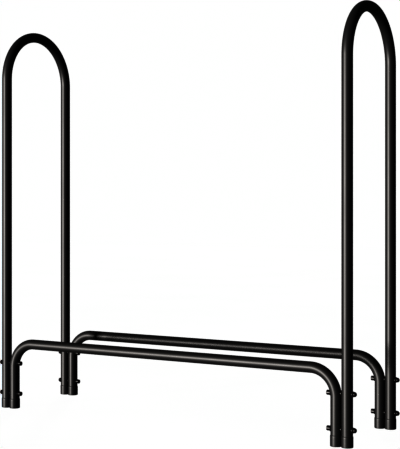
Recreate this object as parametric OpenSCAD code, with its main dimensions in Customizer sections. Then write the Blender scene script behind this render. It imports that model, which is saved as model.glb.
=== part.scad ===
// Firewood log rack: two tube hoops stand on the floor, joined by two low tube rails.
// Millimetres, +Z up. The origin is on the floor at the middle of the rack.
// X runs along the rack, Y across it, and -Y is the front.

/* [Frame] */
// Overall height
rack_h = 1200; // [1000:10:1500]
// Distance between the two hoops, centre to centre
hoop_span = 1172; // [900:1:2400]
// Distance between a hoop's front and rear legs, centre to centre
leg_pitch = 298; // [240:1:400]
// Height of the rails' centreline above the floor
rail_z = 204; // [204:1:300]
// Centreline radius of the rails' bends
rail_bend_r = 75; // [60:1:75]

/* [Tube] */
// Outside diameter of the tube
tube_d = 30; // [28:0.5:32]
// Wall thickness of the tube
tube_wall = 1.2; // [1:0.1:1.6]

/* [Feet] */
// Height of a foot cap
cap_h = 30; // [24:1:32]
// Thickness of a foot cap's side
cap_wall = 1; // [0.85:0.05:1.5]
// Thickness of a foot cap's floor
cap_floor = 3; // [2:0.5:5]

/* [Fasteners] */
// Height of the lower bolts above the floor
lower_bolt_z = 46; // [44:1:50]
// Height from a lower bolt to the upper one
bolt_pitch = 95; // [60:1:95]
// Depth of the flat seat pressed into the tube under each outer washer
seat_depth = 0.2; // [0.1:0.05:0.4]

/* [Hidden] */
$fn = 64;

// Metric hardware with an 8 mm thread; the nuts are turned so that a corner faces the front
bolt_d = 8;
bolt_stock_step = 5;
bolt_tip_play = 1;
head_d = 13;
head_h = 9.8;
socket_af = 6;
socket_depth = 4;
nut_af = 13;
nut_hex_h = 4;
nut_h = 10.6;
nut_bore_depth = 8;
nut_crown_d = 12.4;
nut_crown_r = 6.8;
nut_turn = 30;
washer_d = 16;
washer_t = 1.6;
spacer_t = 2;
washer_hole_d = 8.4;
bolt_hole_d = 8.5;
edge_bevel = 0.6;

// Bevels of the foot cap's edges, and the play left between two neighbouring caps
cap_foot_bevel = 1.5;
cap_lip_h = 2.5;
cap_lip_wall = 0.3;
cap_play = 0.1;

// How far a cutter runs past the face that it cuts
over = 1;

tube_r = tube_d / 2;
bore_r = tube_r - tube_wall;
hoop_bend_r = leg_pitch / 2;
hoop_bend_z = rack_h - tube_r - hoop_bend_r;
rail_bend_z = rail_z - rail_bend_r;

// A rail's leg stands inboard of the hoop's leg, one spacer washer away
leg_step = tube_d + spacer_t;
rail_leg_x = hoop_span / 2 - leg_step;
rail_bend_x = rail_leg_x - rail_bend_r;

seat_d = washer_d + 1;
seat_reach = tube_r;
seat_plane = tube_r - seat_depth;
bolt_heights = [lower_bolt_z, lower_bolt_z + bolt_pitch];

// The longest stock bolt whose tip stays clear of the bottom of the cap nut's bore
bolt_grip = leg_step + 2 * (seat_plane + washer_t);
bolt_room = bolt_grip + nut_bore_depth - bolt_tip_play;
bolt_len = bolt_stock_step * floor(bolt_room / bolt_stock_step);

// A corner is its name and the sides of the origin that it's on, along X and along Y
CORNERS = [
    ["left_front", -1, -1],
    ["left_rear", -1, 1],
    ["right_front", 1, -1],
    ["right_rear", 1, 1]
];
CORNER_PARTS = [
    "hoop_foot", "rail_foot", "bolts", "head_washers", "spacer_washers", "nut_washers", "nuts"
];

// Places children at a hoop leg's foot, with +X pointing outboard
module at_corner(corner) {
    translate([corner[1] * hoop_span / 2, corner[2] * leg_pitch / 2, 0])
        mirror([corner[1] < 0 ? 1 : 0, 0, 0])
            children();
}

// Round bar bent through an angle about Z, starting on +X
module bent_bar(bend_r, bar_r, angle) {
    rotate_extrude(angle = angle)
        translate([bend_r, 0])
            circle(r = bar_r);
}

// Solid bar along a hoop's centreline, with its legs starting at height foot_z
module hoop_bar(bar_r, foot_z) {
    for (side = [-1, 1])
        translate([0, side * hoop_bend_r, foot_z])
            cylinder(r = bar_r, h = hoop_bend_z - foot_z);
    translate([0, 0, hoop_bend_z])
        rotate([90, 0, 90])
            bent_bar(hoop_bend_r, bar_r, 180);
}

// Solid bar along a rail's centreline, with its legs starting at height foot_z
module rail_bar(bar_r, foot_z) {
    for (side = [0, 1])
        mirror([side, 0, 0]) {
            translate([rail_leg_x, 0, foot_z])
                cylinder(r = bar_r, h = rail_bend_z - foot_z);
            translate([rail_bend_x, 0, rail_bend_z])
                rotate([90, 0, 0])
                    bent_bar(rail_bend_r, bar_r, 90);
        }
    translate([0, 0, rail_z])
        rotate([0, 90, 0])
            cylinder(r = bar_r, h = 2 * rail_bend_x, center = true);
}

// Cuts a leg down to the plane that its washers bear on, at a distance from its axis towards +X
module seats(d, plane) {
    for (z = bolt_heights)
        translate([plane, 0, z])
            rotate([0, 90, 0])
                cylinder(d = d, h = seat_reach);
}

module bolt_holes() {
    for (z = bolt_heights)
        translate([0, 0, z])
            rotate([0, 90, 0])
                cylinder(d = bolt_hole_d, h = tube_d + 2 * over, center = true);
}

// Bent tube, drilled and pressed flat under the outer washers
module hoop(side) {
    color("#141414")
        translate([side * hoop_span / 2, 0, 0])
            mirror([side < 0 ? 1 : 0, 0, 0])
                difference() {
                    hoop_bar(tube_r, cap_floor);
                    difference() {
                        hoop_bar(bore_r, cap_floor - over);
                        at_both_legs()
                            seats(seat_d + 2 * tube_wall, seat_plane - tube_wall);
                    }
                    at_both_legs() {
                        seats(seat_d, seat_plane);
                        bolt_holes();
                    }
                }
}

module at_both_legs() {
    for (side = [-1, 1])
        translate([0, side * leg_pitch / 2, 0])
            children();
}

// Low bent tube that the logs lie on, drilled and pressed flat under the bolt heads' washers
module rail(side) {
    color("#141414")
        translate([0, side * leg_pitch / 2, 0])
            difference() {
                rail_bar(tube_r, cap_floor);
                difference() {
                    rail_bar(bore_r, cap_floor - over);
                    at_rail_legs()
                        seats(seat_d + 2 * tube_wall, seat_plane - tube_wall);
                }
                at_rail_legs() {
                    seats(seat_d, seat_plane);
                    bolt_holes();
                }
            }
}

// Places children at both of a rail's legs, with +X pointing inboard
module at_rail_legs() {
    for (side = [0, 1])
        mirror([side, 0, 0])
            translate([-rail_leg_x, 0, 0])
                children();
}

// Cap pushed over a tube's end, squeezed flat against its neighbour on the +X side
module foot_cap() {
    outer_r = tube_r + cap_wall;
    color("#101010")
        difference() {
            rotate_extrude()
                polygon([
                    [0, 0],
                    [outer_r - cap_foot_bevel, 0],
                    [outer_r, cap_foot_bevel],
                    [outer_r, cap_h - cap_lip_h],
                    [tube_r + cap_lip_wall, cap_h],
                    [0, cap_h]
                ]);
            translate([0, 0, cap_floor])
                cylinder(r = tube_r, h = cap_h);
            translate([(leg_step - cap_play) / 2, -outer_r, -over])
                cube([outer_r, 2 * outer_r, cap_h + 2 * over]);
        }
}

module hoop_foot() {
    mirror([1, 0, 0])
        foot_cap();
}

module rail_foot() {
    translate([-leg_step, 0, 0])
        foot_cap();
}

// Places children on both bolt axes of a corner, with +Z pointing outboard, at a given X
module on_bolts(x) {
    for (z = bolt_heights)
        translate([x, 0, z])
            rotate([0, 90, 0])
                children();
}

// Cylinder with its top edge bevelled
module bevelled_disc(d, h) {
    cylinder(d = d, h = h - edge_bevel);
    translate([0, 0, h - edge_bevel])
        cylinder(d1 = d, d2 = d - 2 * edge_bevel, h = edge_bevel);
}

// Cylinder-head screw with a hexagon socket: the head is below the origin and the shank above it
module socket_bolt() {
    color("#1c1c1c")
        difference() {
            union() {
                bevelled_disc(bolt_d, bolt_len);
                mirror([0, 0, 1])
                    bevelled_disc(head_d, head_h);
            }
            translate([0, 0, -head_h - over])
                cylinder(d = socket_af / cos(30), h = socket_depth + over, $fn = 6);
        }
}

module bolts() {
    on_bolts(-leg_step - seat_plane - washer_t)
        socket_bolt();
}

module washer(t) {
    color("#242424")
        difference() {
            cylinder(d = washer_d, h = t);
            translate([0, 0, -over])
                cylinder(d = washer_hole_d, h = t + 2 * over);
        }
}

module head_washers() {
    on_bolts(-leg_step - seat_plane - washer_t)
        washer(washer_t);
}

module spacer_washers() {
    on_bolts(-tube_r - spacer_t)
        washer(spacer_t);
}

module nut_washers() {
    on_bolts(seat_plane)
        washer(washer_t);
}

// Cap nut: a hexagon with bevelled corners, closed by a round crown with a domed end
module cap_nut() {
    corner_d = nut_af / cos(30);
    color("#1c1c1c")
        difference() {
            union() {
                intersection() {
                    rotate([0, 0, nut_turn])
                        cylinder(d = corner_d, h = nut_hex_h, $fn = 6);
                    bevelled_disc(corner_d, nut_hex_h);
                }
                intersection() {
                    cylinder(d = nut_crown_d, h = nut_h);
                    translate([0, 0, nut_h - nut_crown_r])
                        sphere(r = nut_crown_r);
                }
            }
            translate([0, 0, -over])
                cylinder(d = bolt_d, h = nut_bore_depth + over);
        }
}

module nuts() {
    on_bolts(seat_plane + washer_t)
        cap_nut();
}

hoop(-1);  // hoop_left
hoop(1);  // hoop_right
rail(-1);  // rail_front
rail(1);  // rail_rear
for (corner = CORNERS) {
    at_corner(corner) hoop_foot();
    at_corner(corner) rail_foot();
    at_corner(corner) bolts();
    at_corner(corner) head_washers();
    at_corner(corner) spacer_washers();
    at_corner(corner) nut_washers();
    at_corner(corner) nuts();
}
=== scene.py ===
import math

import bmesh
import bpy
from mathutils import Matrix, Vector


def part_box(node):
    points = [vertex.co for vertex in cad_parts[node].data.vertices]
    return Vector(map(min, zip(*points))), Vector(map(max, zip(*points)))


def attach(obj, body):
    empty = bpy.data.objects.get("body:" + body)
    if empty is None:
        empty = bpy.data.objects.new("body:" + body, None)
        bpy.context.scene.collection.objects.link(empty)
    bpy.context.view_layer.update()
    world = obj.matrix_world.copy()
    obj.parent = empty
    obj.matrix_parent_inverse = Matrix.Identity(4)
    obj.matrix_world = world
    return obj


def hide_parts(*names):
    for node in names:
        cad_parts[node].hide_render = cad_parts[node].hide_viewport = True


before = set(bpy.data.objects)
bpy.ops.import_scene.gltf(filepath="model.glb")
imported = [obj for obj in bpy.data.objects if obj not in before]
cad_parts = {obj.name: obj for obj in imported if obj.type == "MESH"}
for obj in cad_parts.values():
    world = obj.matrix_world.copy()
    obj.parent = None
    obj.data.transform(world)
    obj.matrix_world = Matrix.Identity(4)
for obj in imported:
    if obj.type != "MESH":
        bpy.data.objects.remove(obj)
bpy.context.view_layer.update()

SIDES = {"left": -1, "right": 1}
ENDS = {"front": -1, "rear": 1}
MM = 0.001

# Mesh resolution
TUBE_SEGMENTS = 96
LATHE_SEGMENTS = 96
STRAIGHT_STEP = 20 * MM
HOOP_BEND_STEPS = 72
RAIL_BEND_STEPS = 40
EDGE_STEPS = 8
WASHER_EDGE_STEPS = 6
DOME_STEPS = 18
SHOULDER_STEPS = 4
THREAD_STEPS = 10
SMOOTH_ANGLE = math.radians(32)

# Tube stock and its bends, as in the CAD source
TUBE_WALL = 1.2 * MM
RAIL_BEND_R = 75 * MM
SEAT_D = 17 * MM
BOLT_HOLE_D = 8.5 * MM
CUT_OVERRUN = 2 * MM

# Foot caps
CAP_FOOT_R = 1.5 * MM
CAP_FOOT_RIM = 0.6 * MM
CAP_LIP_H = 2.5 * MM
CAP_LIP_WALL = 0.3 * MM
CAP_LIP_EDGE_H = 0.15 * MM
CAP_LIP_EDGE_W = 0.12 * MM
CAP_PLAY = 0.1 * MM

# Metric screws with an 8 mm thread and a hexagon socket. A land is a narrow ring beside an edge.
BOLT_R = 4 * MM
THREAD_PITCH = 1.25 * MM
THREAD_DEPTH = 0.68 * MM
THREAD_LENGTH = 28 * MM
THREAD_LEAD = 1 * MM
THREAD_RUN_OUT_TURNS = 1.5
THREAD_FLANK = 1.25
TIP_BEVEL = 0.9 * MM
TIP_FACE_INSET = 1.2 * MM
SHANK_START = 4 * MM
FILLET_W, FILLET_H = 0.15 * MM, 0.3 * MM
HEAD_R = 6.5 * MM
HEAD_H = 9.8 * MM
HEAD_EDGE_R = 0.6 * MM
HEAD_LAND = 0.15 * MM
HEAD_SEAT_BEVEL = 0.35 * MM
HEAD_SEAT_LAND = 0.1 * MM
SOCKET_AF = 6 * MM
SOCKET_DEPTH = 4 * MM
SOCKET_CONE_H = 0.9 * MM
SOCKET_MOUTH_W, SOCKET_MOUTH_H = 0.35 * MM, 0.3 * MM
SOCKET_LAND = 0.2 * MM

# Cap nuts
NUT_AF = 13 * MM
NUT_HEX_H = 4 * MM
NUT_NECK_R = 6.2 * MM
NUT_CROWN_R = 6.8 * MM
NUT_BORE_DEPTH = 8 * MM
NUT_BORE_CONE_H = 1 * MM
NUT_BORE_BEVEL = 0.5 * MM
NUT_SHOULDER_R = 0.5 * MM
NUT_SHOULDER_DROP = 0.45 * MM
NUT_NECK_RISE = 1 * MM
NUT_LAND = 0.15 * MM
NUT_CHAMFER = math.radians(30)
NUT_BASE_SHARE = 0.96

# Where the arcs of a cap nut's dome and shoulder begin and end, in degrees
DOME_LOW, DOME_HIGH = 4, 87
SHOULDER_HIGH = 40

# Washers
WASHER_HOLE_R = 4.2 * MM
WASHER_EDGE_R = 0.25 * MM
WASHER_BEVEL = 0.1 * MM
WASHER_HOLE_BEVEL = 0.2 * MM

# Camera: level, right of the front and about half as high as the rack, in metres.
# The lens and the sensor are in millimetres.
CAMERA_PLACE = (1.863, -2.978, 0.642)
CAMERA_TURN = math.radians(31.714)
CAMERA_SENSOR = 36
CAMERA_LENS = 93.55
CAMERA_SHIFT_X, CAMERA_SHIFT_Y = 0.0105, -0.0456
CAMERA_REACH = 100

# Studio: a floor, a softbox in front, a softbox behind and a dim glow all round. The softboxes are
# far, tall and centred on the floor's level. Azimuths are seen from above, from -Y towards +X.
FLOOR_HALF = 12
SOFTBOX_DISTANCE = 80
SOFTBOX_WIDTH, SOFTBOX_TALL = 7.5, 17
SOFTBOX_AIM = Vector((0, 0, 0.6))
SOFTBOX_COLOUR = (1, 0.97, 0.94)
KEY_AZIMUTH, KEY_WATTS = math.radians(-26.3), 197000
BACK_AZIMUTH, BACK_WATTS = math.radians(210), 500000
GLOW = 0.07


# ---------------------------------------------------------------- places read from the frame

def extent(node, axis):
    """Lowest and highest value of a CAD node along one axis."""
    low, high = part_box(node)
    return low[axis], high[axis]


tube_x = extent("hoop_right", 0)
TUBE_R = (tube_x[1] - tube_x[0]) / 2
BORE_R = TUBE_R - TUBE_WALL
HOOP_X = (tube_x[0] + tube_x[1]) / 2
HOOP_Y = extent("hoop_right", 1)[1] - TUBE_R
HOOP_CROWN_Z = extent("hoop_right", 2)[1] - TUBE_R
TUBE_FOOT_Z = extent("hoop_right", 2)[0]
RAIL_X = extent("rail_front", 0)[1] - TUBE_R
RAIL_Y = -(extent("rail_front", 1)[0] + TUBE_R)
RAIL_Z = extent("rail_front", 2)[1] - TUBE_R
LEG_STEP = HOOP_X - RAIL_X
CAP_H = extent("hoop_foot_right_front", 2)[1]
CAP_R = extent("hoop_foot_right_front", 0)[1] - HOOP_X

bolt_z = extent("bolts_right_front", 2)
BOLT_HEIGHTS = (bolt_z[0] + HEAD_R, bolt_z[1] - HEAD_R)
bolt_x = extent("bolts_right_front", 0)
BOLT_TIP = bolt_x[1] - HOOP_X
HEAD_SEAT = bolt_x[0] + HEAD_H - HOOP_X
BOLT_LENGTH = BOLT_TIP - HEAD_SEAT
washer_z = extent("nut_washers_right_front", 2)
WASHER_R = (washer_z[1] - washer_z[0] - (BOLT_HEIGHTS[1] - BOLT_HEIGHTS[0])) / 2
washer_x = extent("nut_washers_right_front", 0)
SEAT_PLANE = washer_x[0] - HOOP_X
WASHER_T = washer_x[1] - washer_x[0]
SPACER_T = LEG_STEP - 2 * TUBE_R
NUT_H = extent("nuts_right_front", 0)[1] - washer_x[1]


# ---------------------------------------------------------------- mesh tools

def new_object(name, vertices, faces):
    """Object made of one mesh, its faces turned outwards."""
    mesh = bpy.data.meshes.new(name)
    mesh.from_pydata([tuple(v) for v in vertices], [], faces)
    work = bmesh.new()
    work.from_mesh(mesh)
    bmesh.ops.recalc_face_normals(work, faces=work.faces)
    work.to_mesh(mesh)
    work.free()
    piece = bpy.data.objects.new(name, mesh)
    bpy.context.scene.collection.objects.link(piece)
    return piece


def band(first, second, count):
    """Quads between two rings of count vertices that start at the given indices."""
    return [
        (first + i, first + (i + 1) % count, second + (i + 1) % count, second + i)
        for i in range(count)
    ]


def circle_angles(count):
    """Even angles round a full turn, in radians."""
    return [2 * math.pi * i / count for i in range(count)]


def lathe(profile, closed):
    """Vertices and faces of a form turned about +Z.

    The profile is a list of (radius, height); either may be a function of the angle.
    An open profile starts and ends on the axis, and a closed one goes round a hole.
    """
    def at(value, angle):
        return value(angle) if callable(value) else value

    angles = circle_angles(LATHE_SEGMENTS)
    vertices, faces = [], []
    rings = profile if closed else profile[1:-1]
    for radius, height in rings:
        for angle in angles:
            r = at(radius, angle)
            vertices.append(Vector((r * math.cos(angle), r * math.sin(angle), at(height, angle))))
    starts = [i * LATHE_SEGMENTS for i in range(len(rings))]
    for first, second in zip(starts, starts[1:]):
        faces += band(first, second, LATHE_SEGMENTS)
    if closed:
        faces += band(starts[-1], starts[0], LATHE_SEGMENTS)
    else:
        for start, (_, height) in ((starts[0], profile[0]), (starts[-1], profile[-1])):
            pole = len(vertices)
            vertices.append(Vector((0, 0, height)))
            faces += [
                (pole, start + i, start + (i + 1) % LATHE_SEGMENTS)
                for i in range(LATHE_SEGMENTS)
            ]
    return vertices, faces


def arc(centre_r, centre_z, radius, start, end, steps):
    """Profile points along an arc; angles in degrees, from +radius towards +height."""
    points = []
    for i in range(steps + 1):
        a = math.radians(start + (end - start) * i / steps)
        points.append((centre_r + radius * math.cos(a), centre_z + radius * math.sin(a)))
    return points


def hexagon(across_flats, turn=0.0):
    """Radius of a hexagon as a function of the angle, with a corner at the given angle."""
    def radius(angle):
        sixth = (angle - turn) % (math.pi / 3) - math.pi / 6
        return across_flats / 2 / math.cos(sixth)
    return radius


def within(outline, limit):
    """Outline cut back to a circle."""
    return lambda angle: min(outline(angle), limit)


def cut(target, cutters):
    """Takes the cutters away from the target, as one exact boolean."""
    tool = join_meshes("cutter", cutters)
    modifier = target.modifiers.new("cut", "BOOLEAN")
    modifier.operation = "DIFFERENCE"
    modifier.solver = "EXACT"
    modifier.object = tool
    bpy.context.view_layer.update()
    done = target.evaluated_get(bpy.context.evaluated_depsgraph_get())
    mesh = bpy.data.meshes.new_from_object(done)
    target.modifiers.clear()
    target.data = mesh
    bpy.data.objects.remove(tool)
    return target


def join_meshes(name, objects):
    """One object from several, which are removed."""
    work = bmesh.new()
    for each in objects:
        each.data.transform(each.matrix_world)
        work.from_mesh(each.data)
    mesh = bpy.data.meshes.new(name)
    work.to_mesh(mesh)
    work.free()
    for each in objects:
        bpy.data.objects.remove(each)
    joined = bpy.data.objects.new(name, mesh)
    bpy.context.scene.collection.objects.link(joined)
    return joined


def smooth(piece):
    """Smooth shading that keeps the real edges sharp."""
    bpy.ops.object.select_all(action="DESELECT")
    bpy.context.view_layer.objects.active = piece
    piece.select_set(True)
    bpy.ops.object.shade_smooth_by_angle(angle=SMOOTH_ANGLE)
    piece.select_set(False)


def rod(radius, start, end):
    """Plain cutter along X from one point to another."""
    bore = bmesh.new()
    bmesh.ops.create_cone(
        bore, cap_ends=True, segments=LATHE_SEGMENTS,
        radius1=radius, radius2=radius, depth=abs(end.x - start.x),
    )
    mesh = bpy.data.meshes.new("rod")
    bore.to_mesh(mesh)
    bore.free()
    tool = bpy.data.objects.new("rod", mesh)
    tool.matrix_world = Matrix.Translation((start + end) / 2) @ Matrix.Rotation(math.pi / 2, 4, "Y")
    bpy.context.scene.collection.objects.link(tool)
    return tool


# ---------------------------------------------------------------- bent tubes

def spaced(start, end):
    """Even stations from start to end, about one straight step apart."""
    count = max(1, round(abs(end - start) / STRAIGHT_STEP))
    return [start + (end - start) * i / count for i in range(count + 1)]


def inverted_u(half_span, bend_r, foot_z, crown_z, bend_steps):
    """Stations along an inverted U: (across, up, angle of the outward normal)."""
    bend_z = crown_z - bend_r
    crown_half = half_span - bend_r
    right = [(half_span, z, 0.0) for z in spaced(foot_z, bend_z)]
    for i in range(1, bend_steps + 1):
        turn = math.pi / 2 * i / bend_steps
        right.append((crown_half + bend_r * math.cos(turn), bend_z + bend_r * math.sin(turn), turn))
    if crown_half > STRAIGHT_STEP:
        right += [(u, crown_z, math.pi / 2) for u in spaced(crown_half, 0.0)[1:]]
    left = [(-u, z, math.pi - turn) for u, z, turn in reversed(right[:-1])]
    return right + left


def swept(name, stations, radius, place):
    """Round bar swept along stations and closed at both ends."""
    vertices, faces = [], []
    for u, z, turn in stations:
        for a in circle_angles(TUBE_SEGMENTS):
            out = radius * math.cos(a)
            across, up = u + out * math.cos(turn), z + out * math.sin(turn)
            vertices.append(place(across, up, radius * math.sin(a)))
    starts = range(0, len(vertices), TUBE_SEGMENTS)
    for one, two in zip(starts, starts[1:]):
        faces += band(one, two, TUBE_SEGMENTS)
    for end in (starts[0], starts[-1]):
        faces.append([end + i for i in range(TUBE_SEGMENTS)])
    return new_object(name, vertices, faces)


def drilled_tube(name, stations, place, legs):
    """Hollow tube with bolt holes through its legs and flat seats under its washers.

    legs lists (x, y, side of the leg along X that its washer bears on).
    """
    bar = swept(name, stations, TUBE_R, place)
    longer = [(stations[0][0], stations[0][1] - CUT_OVERRUN, 0.0)] + stations[1:-1]
    longer.append((stations[-1][0], stations[-1][1] - CUT_OVERRUN, math.pi))
    bore = swept("bore", longer, BORE_R, place)

    def seats(radius, plane):
        return [
            rod(radius, Vector((x + face * plane, y, z)), Vector((x + face * 2 * TUBE_R, y, z)))
            for x, y, face in legs for z in BOLT_HEIGHTS
        ]

    holes = [
        rod(BOLT_HOLE_D / 2, Vector((x - 2 * TUBE_R, y, z)), Vector((x + 2 * TUBE_R, y, z)))
        for x, y, _ in legs for z in BOLT_HEIGHTS
    ]
    cut(bore, seats(SEAT_D / 2 + TUBE_WALL, SEAT_PLANE - TUBE_WALL))
    cut(bar, [bore])
    cut(bar, seats(SEAT_D / 2, SEAT_PLANE))
    cut(bar, holes)
    return bar


def hoop(side):
    """Tall hoop at one end of the rack, its washers on the outboard side of its legs."""
    x = side * HOOP_X
    stations = inverted_u(HOOP_Y, HOOP_Y, TUBE_FOOT_Z, HOOP_CROWN_Z, HOOP_BEND_STEPS)
    legs = [(x, end * HOOP_Y, side) for end in ENDS.values()]
    return drilled_tube("hoop", stations, lambda u, z, w: Vector((x + w, u, z)), legs)


def rail(end):
    """Low rail along the front or the rear, its washers on the inboard side of its legs."""
    y = end * RAIL_Y
    stations = inverted_u(RAIL_X, RAIL_BEND_R, TUBE_FOOT_Z, RAIL_Z, RAIL_BEND_STEPS)
    legs = [(side * RAIL_X, y, -side) for side in SIDES.values()]
    return drilled_tube("rail", stations, lambda u, z, w: Vector((u, y + w, z)), legs)


# ---------------------------------------------------------------- foot caps and fasteners

def foot_cap():
    """Moulded cap with a rounded foot and a thin lip, squeezed flat against its neighbour on +X."""
    flat = (LEG_STEP - CAP_PLAY) / 2
    lip_r = TUBE_R + CAP_LIP_WALL
    profile = [(0, 0), (CAP_R / 2, 0), (CAP_R - CAP_FOOT_R - CAP_FOOT_RIM, 0)]
    profile += arc(CAP_R - CAP_FOOT_R, CAP_FOOT_R, CAP_FOOT_R, -90, 0, EDGE_STEPS)
    profile += [(CAP_R, CAP_H * share) for share in (0.25, 0.5, 0.75)]
    profile += [(CAP_R, CAP_H - CAP_LIP_H), ((CAP_R + lip_r) / 2, CAP_H - CAP_LIP_H / 2)]
    profile += [(lip_r, CAP_H - CAP_LIP_EDGE_H), (lip_r - CAP_LIP_EDGE_W, CAP_H)]
    profile += [(TUBE_R, z) for z in (CAP_H, CAP_H / 2, TUBE_FOOT_Z)]
    profile += [(TUBE_R / 2, TUBE_FOOT_Z), (0, TUBE_FOOT_Z)]
    vertices, faces = lathe(profile, closed=False)
    for v in vertices:
        v.x = min(v.x, flat)
    return vertices, faces


def thread(radius, start, end, tip):
    """Rings of a helical thread from height start to end, running out at the start."""
    rings = []
    count = round((end - start) / THREAD_PITCH * THREAD_STEPS)
    for i in range(count + 1):
        z = start + (end - start) * i / count
        fade = min(1, i / THREAD_STEPS / THREAD_RUN_OUT_TURNS)

        def ring(angle, z=z, fade=fade):
            phase = (z / THREAD_PITCH - angle / (2 * math.pi)) % 1
            groove = max(0, 1 - abs(2 * phase - 1) * THREAD_FLANK)
            return min(radius - THREAD_DEPTH * fade * groove, tip(z))
        rings.append((ring, z))
    return rings


def bolt_socket():
    """Profile of the hexagon socket, from its drilled floor to the ring outside its mouth."""
    wall = hexagon(SOCKET_AF)
    floor = SOCKET_DEPTH - HEAD_H
    mouth_r = SOCKET_AF / 2 / math.cos(math.pi / 6) + SOCKET_MOUTH_W
    profile = [(0, floor + SOCKET_CONE_H), (hexagon(SOCKET_AF / 2), floor + SOCKET_CONE_H / 2)]
    profile += [(wall, z) for z in (floor, floor - SOCKET_DEPTH / 2, SOCKET_MOUTH_H - HEAD_H)]
    return profile + [(r, -HEAD_H) for r in (mouth_r, mouth_r + SOCKET_LAND, (mouth_r + HEAD_R) / 2)]


def bolt_head():
    """Profile of the head, from its outer face round to the shank."""
    profile = [(HEAD_R - HEAD_EDGE_R - HEAD_LAND, -HEAD_H)]
    profile += arc(HEAD_R - HEAD_EDGE_R, HEAD_EDGE_R - HEAD_H, HEAD_EDGE_R, -90, 0, EDGE_STEPS)
    profile += [(HEAD_R, -HEAD_H * share) for share in (0.75, 0.5, 0.25)]
    profile += [(HEAD_R, -HEAD_SEAT_BEVEL), (HEAD_R - HEAD_SEAT_LAND, -HEAD_SEAT_LAND)]
    return profile + [(HEAD_R - HEAD_SEAT_BEVEL, 0), (BOLT_R + FILLET_W, 0), (BOLT_R, FILLET_H)]


def socket_bolt():
    """Cylinder-head screw: the head is below the origin and the threaded shank above it."""
    bevel_z = BOLT_LENGTH - TIP_BEVEL
    thread_z = BOLT_LENGTH - THREAD_LENGTH
    profile = bolt_socket() + bolt_head()
    profile += [(BOLT_R, z) for z in spaced(SHANK_START, thread_z - THREAD_LEAD)]
    profile += thread(BOLT_R, thread_z, BOLT_LENGTH, lambda z: BOLT_R - max(0, z - bevel_z))
    profile += [(BOLT_R - TIP_FACE_INSET, BOLT_LENGTH), (0, BOLT_LENGTH)]
    return lathe(profile, closed=False)


def washer(thickness):
    """Flat washer with its outer edge rounded on the punched side."""
    outer, hole = WASHER_R, WASHER_HOLE_R
    middle = (hole + outer) / 2
    profile = [(hole, WASHER_BEVEL), (hole + WASHER_BEVEL, 0), (middle, 0)]
    profile += [(outer - WASHER_BEVEL, 0), (outer, WASHER_BEVEL)]
    rounded_r, rounded_z = outer - WASHER_EDGE_R, thickness - WASHER_EDGE_R
    profile += arc(rounded_r, rounded_z, WASHER_EDGE_R, 0, 90, WASHER_EDGE_STEPS)
    profile += [(middle, thickness), (hole + WASHER_HOLE_BEVEL, thickness)]
    profile += [(hole, thickness - WASHER_HOLE_BEVEL)]
    return lathe(profile, closed=True)


def chamfered(outline, inner_r, outer_r, height):
    """Rings of an outline's chamfered corners; height is a function of the distance past inner_r."""
    rings = []
    for i in range(EDGE_STEPS + 1):
        past = (outer_r - inner_r) * i / EDGE_STEPS
        rings.append((within(outline, inner_r + past), height(past)))
    return rings


def nut_crown():
    """Profile of the domed crown and its neck, from the top down to the hexagon."""
    dome_z = NUT_H - NUT_CROWN_R
    rim = math.acos(NUT_NECK_R / NUT_CROWN_R)
    rim_z = dome_z + NUT_CROWN_R * math.sin(rim)
    profile = arc(0, dome_z, NUT_CROWN_R, DOME_HIGH, math.degrees(rim) + DOME_LOW, DOME_STEPS)
    shoulder_r, shoulder_z = NUT_NECK_R - NUT_SHOULDER_R, rim_z - NUT_SHOULDER_DROP
    profile += arc(shoulder_r, shoulder_z, NUT_SHOULDER_R, SHOULDER_HIGH, 0, SHOULDER_STEPS)
    neck_z = (dome_z + NUT_HEX_H) / 2 + NUT_NECK_RISE
    return [(0, NUT_H)] + profile + [(NUT_NECK_R, neck_z), (NUT_NECK_R, NUT_HEX_H + NUT_LAND)]


def cap_nut():
    """Hexagon with bevelled corners, a corner towards the front, under a domed crown."""
    corner_r = NUT_AF / 2 / math.cos(math.pi / 6)
    outline = hexagon(NUT_AF, math.pi / 2)
    slope = math.tan(NUT_CHAMFER)
    base_r = NUT_AF / 2 * NUT_BASE_SHARE
    profile = nut_crown()
    profile += chamfered(outline, NUT_NECK_R + NUT_LAND, corner_r, lambda past: NUT_HEX_H - past * slope)
    profile += [(outline, NUT_HEX_H / 2)]
    profile += reversed(chamfered(outline, base_r, corner_r, lambda past: past * slope))
    profile += [(BOLT_R + NUT_BORE_BEVEL, 0), (BOLT_R, NUT_BORE_BEVEL), (BOLT_R, NUT_BORE_DEPTH / 2)]
    profile += [(BOLT_R, NUT_BORE_DEPTH - NUT_BORE_CONE_H), (BOLT_R / 2, NUT_BORE_DEPTH)]
    return lathe(profile + [(0, NUT_BORE_DEPTH)], closed=False)


# ---------------------------------------------------------------- placing at the corners

def corner_matrix(side, end):
    """From a hoop leg's foot, with +X outboard, to the rack's frame."""
    mirror = Matrix.Scale(side, 4, (1, 0, 0))
    return Matrix.Translation((side * HOOP_X, end * HOOP_Y, 0)) @ mirror


def at_bolts(x):
    """Both bolt axes of a corner, +Z pointing outboard, starting at x."""
    turn = Matrix.Rotation(math.pi / 2, 4, "Y")
    return [Matrix.Translation((x, 0, z)) @ turn for z in BOLT_HEIGHTS]


def corner_piece(name, shape, places, corner):
    """One object with a copy of the shape at each place of a corner."""
    vertices, faces = [], []
    for place in places:
        offset = len(vertices)
        vertices += [corner @ place @ v for v in shape[0]]
        faces += [tuple(offset + i for i in face) for face in shape[1]]
    return new_object(name, vertices, faces)


# ---------------------------------------------------------------- materials

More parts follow.
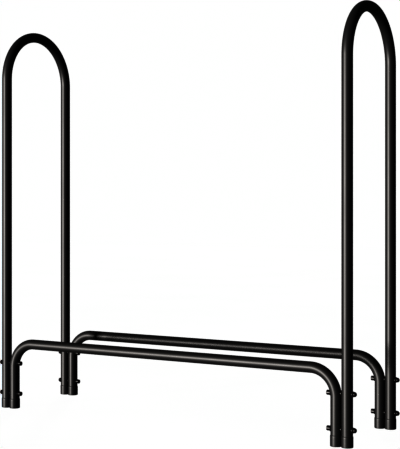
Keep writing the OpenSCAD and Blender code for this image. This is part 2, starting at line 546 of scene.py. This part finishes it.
def shader(name, colour, roughness, metallic=0.0):
    """New material, its node tree and its Principled shader with plain values set."""
    material = bpy.data.materials.new(name)
    material.use_nodes = True
    principled = material.node_tree.nodes["Principled BSDF"]
    principled.inputs["Base Color"].default_value = (*colour, 1)
    principled.inputs["Roughness"].default_value = roughness
    principled.inputs["Metallic"].default_value = metallic
    return material, material.node_tree, principled


def noise(tree, scale, detail=3, roughness=0.5):
    """3D noise in the rack's own metres."""
    place = tree.nodes.new("ShaderNodeTexCoord")
    texture = tree.nodes.new("ShaderNodeTexNoise")
    texture.inputs["Scale"].default_value = scale
    texture.inputs["Detail"].default_value = detail
    texture.inputs["Roughness"].default_value = roughness
    tree.links.new(place.outputs["Object"], texture.inputs["Vector"])
    return texture.outputs["Fac"]


def spread(tree, value, low, high, from_low=0.3, from_high=0.7):
    """Value spread from one range over another."""
    node = tree.nodes.new("ShaderNodeMapRange")
    for socket, number in (
        ("From Min", from_low), ("From Max", from_high), ("To Min", low), ("To Max", high)
    ):
        node.inputs[socket].default_value = number
    tree.links.new(value, node.inputs["Value"])
    return node.outputs["Result"]


def tinted(tree, value, dark, light):
    """Colour between two, by a value from 0 to 1."""
    node = tree.nodes.new("ShaderNodeValToRGB")
    node.color_ramp.elements[0].color = (*dark, 1)
    node.color_ramp.elements[1].color = (*light, 1)
    tree.links.new(value, node.inputs["Fac"])
    return node.outputs["Color"]


def bump(tree, height, distance, under=None):
    """Bump of the given height in metres, over an optional coarser one."""
    node = tree.nodes.new("ShaderNodeBump")
    node.inputs["Distance"].default_value = distance
    node.inputs["Strength"].default_value = 1
    tree.links.new(height, node.inputs["Height"])
    if under is not None:
        tree.links.new(under, node.inputs["Normal"])
    return node.outputs["Normal"]


def surface(tree, principled, shade, gloss, relief):
    """Wires the three things that vary over a surface into its shader."""
    for socket, value in (("Base Color", shade), ("Roughness", gloss), ("Normal", relief)):
        tree.links.new(value, principled.inputs[socket])


def powder_coat():
    """Satin black powder coat: faint orange peel, and a little unevenness in gloss and shade."""
    material, tree, principled = shader("powder_coat", (0.019, 0.019, 0.019), 0.488)
    shade = tinted(tree, noise(tree, 7), (0.0172, 0.0172, 0.0174), (0.0212, 0.021, 0.0207))
    gloss = spread(tree, noise(tree, 16), 0.478, 0.498)
    peel = bump(tree, noise(tree, 430, detail=1), 0.01 * MM)
    grain = bump(tree, noise(tree, 2400, detail=2), 0.002 * MM, under=peel)
    surface(tree, principled, shade, gloss, grain)
    return material


def near_floor(tree, height):
    """One at the floor, falling to zero at a height above it."""
    place = tree.nodes.new("ShaderNodeTexCoord")
    split = tree.nodes.new("ShaderNodeSeparateXYZ")
    tree.links.new(place.outputs["Object"], split.inputs["Vector"])
    return spread(tree, split.outputs["Z"], 1, 0, from_low=0, from_high=height)


def moulded_plastic():
    """Black moulded plastic: fine grain, with dusty scuffs near the floor."""
    material, tree, principled = shader("moulded_plastic", (0.016, 0.016, 0.016), 0.51)
    patches = spread(tree, noise(tree, 420, detail=5, roughness=0.7), 0, 1, 0.45, 0.7)
    scuff = tree.nodes.new("ShaderNodeMath")
    scuff.operation = "MULTIPLY"
    tree.links.new(near_floor(tree, 6 * MM), scuff.inputs[0])
    tree.links.new(patches, scuff.inputs[1])
    shade = tinted(tree, scuff.outputs["Value"], (0.015, 0.015, 0.015), (0.035, 0.033, 0.03))
    gloss = spread(tree, noise(tree, 900), 0.48, 0.54)
    surface(tree, principled, shade, gloss, bump(tree, noise(tree, 3200, detail=2), 0.004 * MM))
    return material


def blackened_steel():
    """Blackened steel: dark, faintly mottled, and worn a little where it was handled."""
    material, tree, principled = shader("blackened_steel", (0.02, 0.02, 0.02), 0.34, 0.55)
    worn = spread(tree, noise(tree, 700, detail=6, roughness=0.65), 0, 1, 0.52, 0.78)
    shade = tinted(tree, worn, (0.012, 0.012, 0.012), (0.05, 0.048, 0.045))
    gloss = spread(tree, noise(tree, 1500), 0.28, 0.42)
    surface(tree, principled, shade, gloss, bump(tree, noise(tree, 2400), 0.008 * MM))
    return material


def pale_floor():
    """Plain pale studio floor that glows evenly, so that no light burns it out."""
    material, tree, principled = shader("pale_floor", (0.02, 0.02, 0.02), 0.9)
    shade = tinted(tree, noise(tree, 1.5, detail=2), (0.985, 0.985, 0.985), (1, 1, 1))
    tree.links.new(shade, principled.inputs["Emission Color"])
    principled.inputs["Emission Strength"].default_value = 1
    principled.inputs["Specular IOR Level"].default_value = 0
    material.cycles.emission_sampling = "NONE"
    return material


# ---------------------------------------------------------------- the rack

def finish_piece(piece, name, node, material):
    """Names a piece, gives it its material and lets it stand for its CAD node."""
    piece.name = name
    piece.data.name = name
    piece.data.materials.clear()
    piece.data.materials.append(material)
    smooth(piece)
    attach(piece, "root")
    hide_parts(node)


def build_rack():
    """Builds every piece, and lets each stand for its CAD node."""
    coat, plastic, steel = powder_coat(), moulded_plastic(), blackened_steel()
    for word, side in SIDES.items():
        finish_piece(hoop(side), f"hoop_{word}_tube", f"hoop_{word}", coat)
    for word, end in ENDS.items():
        finish_piece(rail(end), f"rail_{word}_tube", f"rail_{word}", coat)

    cap, bolt, nut = foot_cap(), socket_bolt(), cap_nut()
    outer_washer, spacer = washer(WASHER_T), washer(SPACER_T)
    facing_away = Matrix.Scale(-1, 4, (1, 0, 0))
    inboard = Matrix.Translation((-LEG_STEP, 0, 0))
    parts = (
        ("hoop_foot", cap, [facing_away], plastic, "foot_cap_plastic"),
        ("rail_foot", cap, [inboard], plastic, "foot_cap_plastic"),
        ("bolts", bolt, at_bolts(HEAD_SEAT), steel, "blackened_steel"),
        ("head_washers", outer_washer, at_bolts(HEAD_SEAT), steel, "blackened_steel"),
        ("spacer_washers", spacer, at_bolts(-TUBE_R - SPACER_T), steel, "blackened_steel"),
        ("nut_washers", outer_washer, at_bolts(SEAT_PLANE), steel, "blackened_steel"),
        ("nuts", nut, at_bolts(SEAT_PLANE + WASHER_T), steel, "blackened_steel"),
    )
    for side_word, side in SIDES.items():
        for end_word, end in ENDS.items():
            corner = f"{side_word}_{end_word}"
            for kind, shape, places, material, slot in parts:
                node = f"{kind}_{corner}"
                piece = corner_piece(node, shape, places, corner_matrix(side, end))
                finish_piece(piece, f"{node}_finished", node, material)


# ---------------------------------------------------------------- studio

def lit_world():
    """White behind the object, and a dim even glow on it."""
    world = bpy.data.worlds.new("studio")
    bpy.context.scene.world = world
    world.use_nodes = True
    tree = world.node_tree
    tree.nodes.clear()
    output = tree.nodes.new("ShaderNodeOutputWorld")
    mix = tree.nodes.new("ShaderNodeMixShader")
    path = tree.nodes.new("ShaderNodeLightPath")
    glow = tree.nodes.new("ShaderNodeBackground")
    backdrop = tree.nodes.new("ShaderNodeBackground")
    glow.inputs["Color"].default_value = (GLOW, GLOW, GLOW, 1)
    backdrop.inputs["Color"].default_value = (1, 1, 1, 1)
    tree.links.new(path.outputs["Is Camera Ray"], mix.inputs["Fac"])
    tree.links.new(glow.outputs["Background"], mix.inputs[1])
    tree.links.new(backdrop.outputs["Background"], mix.inputs[2])
    tree.links.new(mix.outputs["Shader"], output.inputs["Surface"])


def softbox(name, azimuth, watts, mirrored):
    """Far rectangular softbox, hidden from the camera, and from the gloss unless mirrored."""
    light = bpy.data.lights.new(name, "AREA")
    light.shape = "RECTANGLE"
    light.size = SOFTBOX_WIDTH
    light.size_y = SOFTBOX_TALL
    light.energy = watts
    light.color = SOFTBOX_COLOUR
    lamp = bpy.data.objects.new(name, light)
    lamp.location = Vector((math.sin(azimuth), -math.cos(azimuth), 0)) * SOFTBOX_DISTANCE
    lamp.rotation_euler = (SOFTBOX_AIM - lamp.location).to_track_quat("-Z", "Y").to_euler()
    lamp.visible_camera = False
    lamp.visible_glossy = mirrored
    bpy.context.scene.collection.objects.link(lamp)


def pale_stage():
    """Wide floor that the tubes neither mirror nor get light from."""
    corners = [(x * FLOOR_HALF, y * FLOOR_HALF, 0) for x, y in ((-1, -1), (1, -1), (1, 1), (-1, 1))]
    floor = new_object("floor", corners, [(0, 1, 2, 3)])
    floor.data.materials.append(pale_floor())
    floor.visible_glossy = False
    floor.visible_diffuse = False
    floor.visible_shadow = False


def camera():
    """Camera at the photograph's angle."""
    data = bpy.data.cameras.new("camera")
    data.sensor_fit = "AUTO"
    data.sensor_width = CAMERA_SENSOR
    data.lens = CAMERA_LENS
    data.shift_x = CAMERA_SHIFT_X
    data.shift_y = CAMERA_SHIFT_Y
    data.clip_end = CAMERA_REACH
    eye = bpy.data.objects.new("camera", data)
    eye.location = CAMERA_PLACE
    eye.rotation_euler = (math.pi / 2, 0, CAMERA_TURN)
    bpy.context.scene.collection.objects.link(eye)
    bpy.context.scene.camera = eye


build_rack()
pale_stage()
lit_world()
softbox("key", KEY_AZIMUTH, KEY_WATTS, mirrored=True)
softbox("back", BACK_AZIMUTH, BACK_WATTS, mirrored=False)
camera()
bpy.context.scene.view_settings.view_transform = "Raw"
